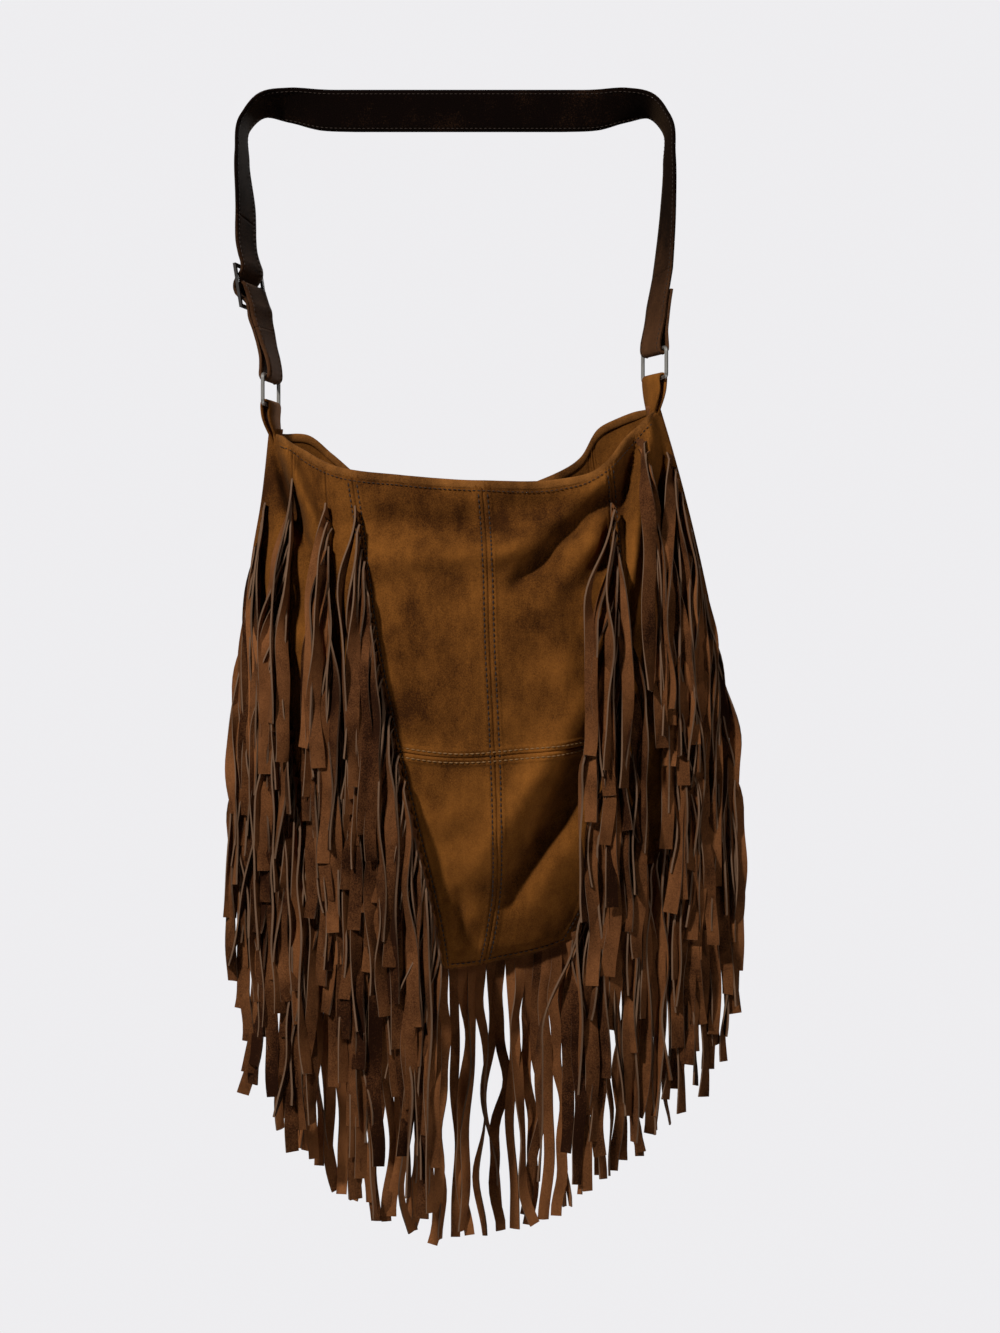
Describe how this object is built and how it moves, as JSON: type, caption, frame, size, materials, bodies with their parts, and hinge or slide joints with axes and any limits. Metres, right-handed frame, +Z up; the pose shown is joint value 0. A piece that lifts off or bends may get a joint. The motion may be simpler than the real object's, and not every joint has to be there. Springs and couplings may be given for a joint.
{
  "type": "fringed suede shoulder bag",
  "caption": "Slouchy suede shoulder bag with hanging rows of cut fringe, a wide open mouth and an adjustable strap on two rings, hung from its strap.",
  "frame": {"origin": "middle of the flat inner face of the strap's top run, where a shoulder or a peg carries the bag", "axes": "+Z up along the hanging bag, +X to the bag's right as seen from the front, front faces -Y"},
  "size_m": [0.3823, 0.1294, 0.8835],
  "materials": {
    "suede": "napped tobacco-brown suede",
    "fringe_suede": "napped brown suede, cut raw at the edges",
    "strap_leather": "dark brown suede, doubled and top-stitched",
    "ring_steel": "nickel-plated wire, dulled",
    "slider_steel": "dark gunmetal casting"
  },
  "bodies": {
    "bag": {"front_gore_outer_left": "suede", "front_gore_middle_left": "suede", "front_gore_inner_left": "suede", "front_panel_upper_left": "suede", "front_panel_lower_left": "suede", "front_panel_upper_right": "suede", "front_panel_lower_right": "suede", "front_gore_inner_right": "suede", "front_gore_outer_right": "suede", "back_side_panel_left": "suede", "back_centre_panel": "suede", "back_side_panel_right": "suede", "mouth_binding_front": "suede", "mouth_binding_back": "suede", "tab_left": "suede", "tab_right": "suede", "fringe_outer_left": "fringe_suede", "fringe_middle_left": "fringe_suede", "fringe_inner_left": "fringe_suede", "fringe_inner_right": "fringe_suede", "fringe_outer_right": "fringe_suede", "fringe_bottom": "fringe_suede", "fringe_side_left": "fringe_suede", "fringe_side_right": "fringe_suede", "shoulder_strap": "strap_leather"},
    "ring_left": {"ring_left": "ring_steel"},
    "ring_right": {"ring_right": "ring_steel"},
    "strap_slider": {"strap_slider": "slider_steel"}
  },
  "joints": [
    {"name": "ring_left_swing", "type": "hinge", "parent": "bag", "child": "ring_left", "pos_m": [-0.1405, -0.045, -0.231], "axis": [-0.22, -0.9755, 0], "range_deg": [-45, 45], "deforming": ["shoulder_strap"]},
    {"name": "ring_right_swing", "type": "hinge", "parent": "bag", "child": "ring_right", "pos_m": [0.1474, -0.045, -0.2111], "axis": [0.4, -0.9165, 0], "range_deg": [-45, 45], "deforming": ["shoulder_strap"]},
    {"name": "slider_slide", "type": "slide", "parent": "bag", "child": "strap_slider", "axis": [-0.1599, 0.1499, 0.9757], "range_m": [-0.01, 0.015], "deforming": ["shoulder_strap"]}
  ]
}
